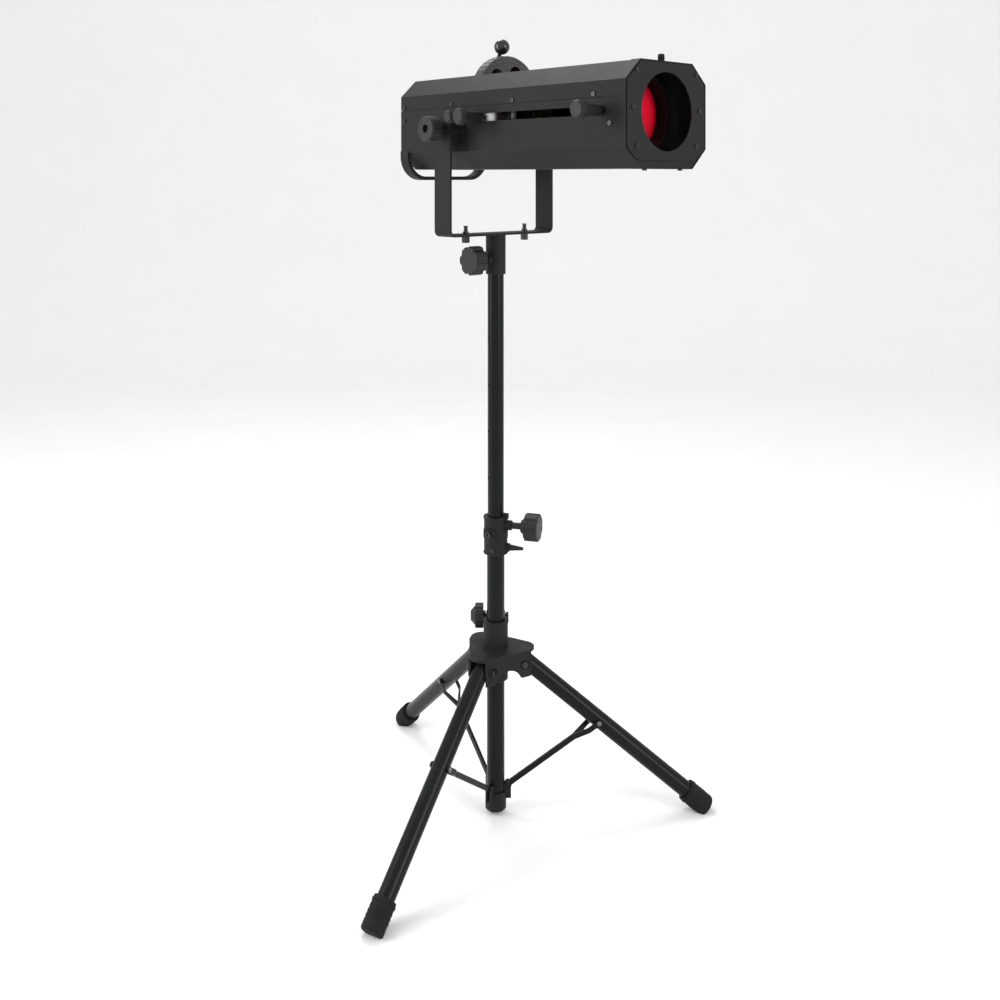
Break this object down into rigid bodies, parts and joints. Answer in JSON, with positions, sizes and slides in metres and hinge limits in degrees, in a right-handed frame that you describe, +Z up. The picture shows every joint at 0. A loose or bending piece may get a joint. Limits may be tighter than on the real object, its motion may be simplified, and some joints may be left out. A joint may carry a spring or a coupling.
{
  "type": "followspot on tripod stand",
  "caption": "Long octagonal theatre followspot in a yoke on a folding three-legged stand, with sliding lens knobs, a colour wheel and an iris lever.",
  "frame": {"origin": "on the column axis at floor level, 8 mm below the mouth of the ballast thread in the base fitting", "axes": "+X the way the lamp points, +Z up along the column, -Y towards the side with the sliding knobs"},
  "size_m": [0.9325, 0.8042, 1.673],
  "materials": {
    "black_coat": "matte black powder coat on steel",
    "tube_paint": "semi-gloss black paint on steel tube",
    "cast_black": "satin black on cast aluminium",
    "knob_plastic": "fine-grained black plastic",
    "ball_plastic": "glossy black",
    "screw_steel": "blackened steel, worn bright",
    "bright_metal": "bright aluminium",
    "wheel_metal": "satin grey paint on aluminium",
    "rubber_black": "matt rubber",
    "red_glass": "red coated glass",
    "clear_glass": "clear glass",
    "filter_glass": "coloured glass",
    "board_green": "board and emitter",
    "dark_window": "dark clear window"
  },
  "bodies": {
    "column": {"lower_tube": "tube_paint", "base_fitting": "cast_black", "clamp_collar": "cast_black", "clamp_bolts": "screw_steel"},
    "hub": {"hub_casting": "cast_black", "hub_bolts": "screw_steel"},
    "hub_knob": {"hub_knob": "knob_plastic"},
    "clamp_knob": {"clamp_knob": "knob_plastic"},
    "clamp_pin": {"clamp_pin": "knob_plastic"},
    "mast": {"upper_tube": "tube_paint"},
    "yoke": {"yoke_sleeve": "cast_black", "yoke_bracket": "black_coat", "yoke_bolts": "screw_steel"},
    "pan_knob": {"pan_knob": "knob_plastic"},
    "housing": {"pivot_spacers": "cast_black", "upper_shell": "black_coat", "lower_shell": "black_coat", "front_cap": "black_coat", "face_plate": "black_coat", "housing_screws": "screw_steel", "rear_panel": "black_coat", "display_window": "dark_window", "power_inlet": "knob_plastic", "data_sockets": "knob_plastic", "rear_handle": "black_coat", "fan_frame": "knob_plastic", "heat_sink": "bright_metal", "led_module": "board_green", "gate_plate": "black_coat", "condenser_lens": "clear_glass", "guide_rods": "screw_steel"},
    "tilt_knob_near": {"tilt_knob_near": "knob_plastic"},
    "tilt_knob_far": {"tilt_knob_far": "knob_plastic"},
    "top_thumbscrew": {"top_thumbscrew": "black_coat"},
    "power_switch": {"power_switch": "knob_plastic"},
    "fan_rotor": {"fan_rotor": "knob_plastic"},
    "iris_ring": {"iris_ring": "black_coat"},
    "iris_lever": {"iris_lever": "ball_plastic"},
    "colour_wheel": {"colour_wheel": "wheel_metal", "colour_filters": "filter_glass"},
    "front_carriage": {"front_carriage": "knob_plastic", "front_lens": "red_glass"},
    "rear_carriage": {"rear_carriage": "bright_metal", "rear_lens": "clear_glass"},
    "front_slider_knob": {"front_slider_knob": "knob_plastic"},
    "rear_slider_knob": {"rear_slider_knob": "knob_plastic"},
    "lock_knob": {"lock_knob": "knob_plastic"},
    "leg_1": {"leg_1": "tube_paint", "foot_1": "rubber_black"},
    "brace_1": {"brace_1": "tube_paint"},
    "leg_2": {"leg_2": "tube_paint", "foot_2": "rubber_black"},
    "brace_2": {"brace_2": "tube_paint"},
    "leg_3": {"leg_3": "tube_paint", "foot_3": "rubber_black"},
    "brace_3": {"brace_3": "tube_paint"},
    "menu_button_1": {"menu_button_1": "knob_plastic"},
    "menu_button_2": {"menu_button_2": "knob_plastic"},
    "menu_button_3": {"menu_button_3": "knob_plastic"},
    "menu_button_4": {"menu_button_4": "knob_plastic"}
  },
  "joints": [
    {"name": "hub_slide", "type": "slide", "parent": "column", "child": "hub", "axis": [0, 0, 1], "range_m": [0, 0.14]},
    {"name": "leg_1_hinge", "type": "hinge", "parent": "hub", "child": "leg_1", "pos_m": [0.04149, 0.04607, 0.33], "axis": [-0.7431, 0.6691, 0], "range_deg": [0, 30.84]},
    {"name": "brace_1_hinge", "type": "hinge", "parent": "column", "child": "brace_1", "pos_m": [0.01773, 0.01969, 0.06], "axis": [0.7431, -0.6691, 0], "range_deg": [0, 28.4]},
    {"name": "leg_2_hinge", "type": "hinge", "parent": "hub", "child": "leg_2", "pos_m": [-0.06064, 0.01289, 0.33], "axis": [-0.2079, -0.9781, 0], "range_deg": [0, 30.84]},
    {"name": "brace_2_hinge", "type": "hinge", "parent": "column", "child": "brace_2", "pos_m": [-0.02592, 0.00551, 0.06], "axis": [0.2079, 0.9781, 0], "range_deg": [0, 28.4]},
    {"name": "leg_3_hinge", "type": "hinge", "parent": "hub", "child": "leg_3", "pos_m": [0.01916, -0.05897, 0.33], "axis": [0.9511, 0.309, 0], "range_deg": [0, 30.84]},
    {"name": "brace_3_hinge", "type": "hinge", "parent": "column", "child": "brace_3", "pos_m": [0.00819, -0.0252, 0.06], "axis": [-0.9511, -0.309, 0], "range_deg": [0, 28.4]},
    {"name": "hub_knob_turn", "type": "hinge", "parent": "hub", "child": "hub_knob", "pos_m": [-0.02507, 0.02297, 0.411], "axis": [-0.6756, -0.7373, 0], "continuous": true},
    {"name": "clamp_knob_turn", "type": "hinge", "parent": "column", "child": "clamp_knob", "pos_m": [0, 0, 0.622], "axis": [0.8616, 0.5075, 0], "continuous": true},
    {"name": "clamp_pin_pull", "type": "slide", "parent": "column", "child": "clamp_pin", "axis": [0.8616, 0.5075, 0], "range_m": [0, 0.012]},
    {"name": "mast_slide", "type": "slide", "parent": "column", "child": "mast", "axis": [0, 0, 1], "range_m": [-0.43, 0]},
    {"name": "yoke_pan", "type": "hinge", "parent": "mast", "child": "yoke", "pos_m": [0, 0, 1.2], "axis": [0, 0, 1], "continuous": true},
    {"name": "pan_knob_turn", "type": "hinge", "parent": "yoke", "child": "pan_knob", "pos_m": [0, 0, 1.195], "axis": [0, -1, 0], "continuous": true},
    {"name": "housing_tilt", "type": "hinge", "parent": "yoke", "child": "housing", "pos_m": [0, 0, 1.472], "axis": [0, 1, 0], "range_deg": [-50, 50]},
    {"name": "tilt_knob_near_turn", "type": "hinge", "parent": "housing", "child": "tilt_knob_near", "pos_m": [0, -0.16, 1.472], "axis": [0, -1, 0], "continuous": true},
    {"name": "tilt_knob_far_turn", "type": "hinge", "parent": "housing", "child": "tilt_knob_far", "pos_m": [0, 0.16, 1.472], "axis": [0, 1, 0], "continuous": true},
    {"name": "top_thumbscrew_turn", "type": "hinge", "parent": "housing", "child": "top_thumbscrew", "pos_m": [0.456, 0, 1.588], "axis": [0, 0, 1], "continuous": true},
    {"name": "lock_knob_turn", "type": "hinge", "parent": "housing", "child": "lock_knob", "pos_m": [0.05, -0.15, 1.4948], "axis": [0, -1, 0], "continuous": true},
    {"name": "front_carriage_slide", "type": "slide", "parent": "housing", "child": "front_carriage", "axis": [1, 0, 0], "range_m": [-0.195, 0]},
    {"name": "rear_carriage_slide", "type": "slide", "parent": "housing", "child": "rear_carriage", "axis": [1, 0, 0], "range_m": [0, 0.07]},
    {"name": "front_slider_knob_turn", "type": "hinge", "parent": "front_carriage", "child": "front_slider_knob", "pos_m": [0.408, -0.15, 1.4948], "axis": [0, -1, 0], "continuous": true},
    {"name": "rear_slider_knob_turn", "type": "hinge", "parent": "rear_carriage", "child": "rear_slider_knob", "pos_m": [0.083, -0.15, 1.4948], "axis": [0, -1, 0], "continuous": true},
    {"name": "colour_wheel_turn", "type": "hinge", "parent": "housing", "child": "colour_wheel", "pos_m": [0.008, 0.02, 1.545], "axis": [1, 0, 0], "continuous": true},
    {"name": "iris_lever_swing", "type": "hinge", "parent": "housing", "child": "iris_lever", "pos_m": [-0.014, 0.02, 1.545], "axis": [1, 0, 0], "range_deg": [-30, 30]},
    {"name": "iris_ring_turn", "type": "hinge", "parent": "housing", "child": "iris_ring", "pos_m": [-0.022, 0, 1.494], "axis": [1, 0, 0], "range_deg": [-15.2, 15.2]},
    {"name": "fan_turn", "type": "hinge", "parent": "housing", "child": "fan_rotor", "pos_m": [-0.17, -0.05, 1.498], "axis": [1, 0, 0], "continuous": true},
    {"name": "menu_button_1_press", "type": "slide", "parent": "housing", "child": "menu_button_1", "axis": [1, 0, 0], "range_m": [0, 0.0015], "stiffness_N_per_m": 300},
    {"name": "menu_button_2_press", "type": "slide", "parent": "housing", "child": "menu_button_2", "axis": [1, 0, 0], "range_m": [0, 0.0015], "stiffness_N_per_m": 300},
    {"name": "menu_button_3_press", "type": "slide", "parent": "housing", "child": "menu_button_3", "axis": [1, 0, 0], "range_m": [0, 0.0015], "stiffness_N_per_m": 300},
    {"name": "menu_button_4_press", "type": "slide", "parent": "housing", "child": "menu_button_4", "axis": [1, 0, 0], "range_m": [0, 0.0015], "stiffness_N_per_m": 300},
    {"name": "power_switch_rock", "type": "hinge", "parent": "housing", "child": "power_switch", "pos_m": [-0.177, 0.06, 1.474], "axis": [0, 1, 0], "range_deg": [0, 14]}
  ],
  "couplings": [
    {"joint": "leg_1_hinge", "follows": "hub_slide", "rad_per_m": 3.8379},
    {"joint": "brace_1_hinge", "follows": "hub_slide", "rad_per_m": 3.5338},
    {"joint": "leg_2_hinge", "follows": "hub_slide", "rad_per_m": 3.8379},
    {"joint": "brace_2_hinge", "follows": "hub_slide", "rad_per_m": 3.5338},
    {"joint": "leg_3_hinge", "follows": "hub_slide", "rad_per_m": 3.8379},
    {"joint": "brace_3_hinge", "follows": "hub_slide", "rad_per_m": 3.5338},
    {"joint": "iris_ring_turn", "follows": "iris_lever_swing", "ratio": -0.5}
  ]
}
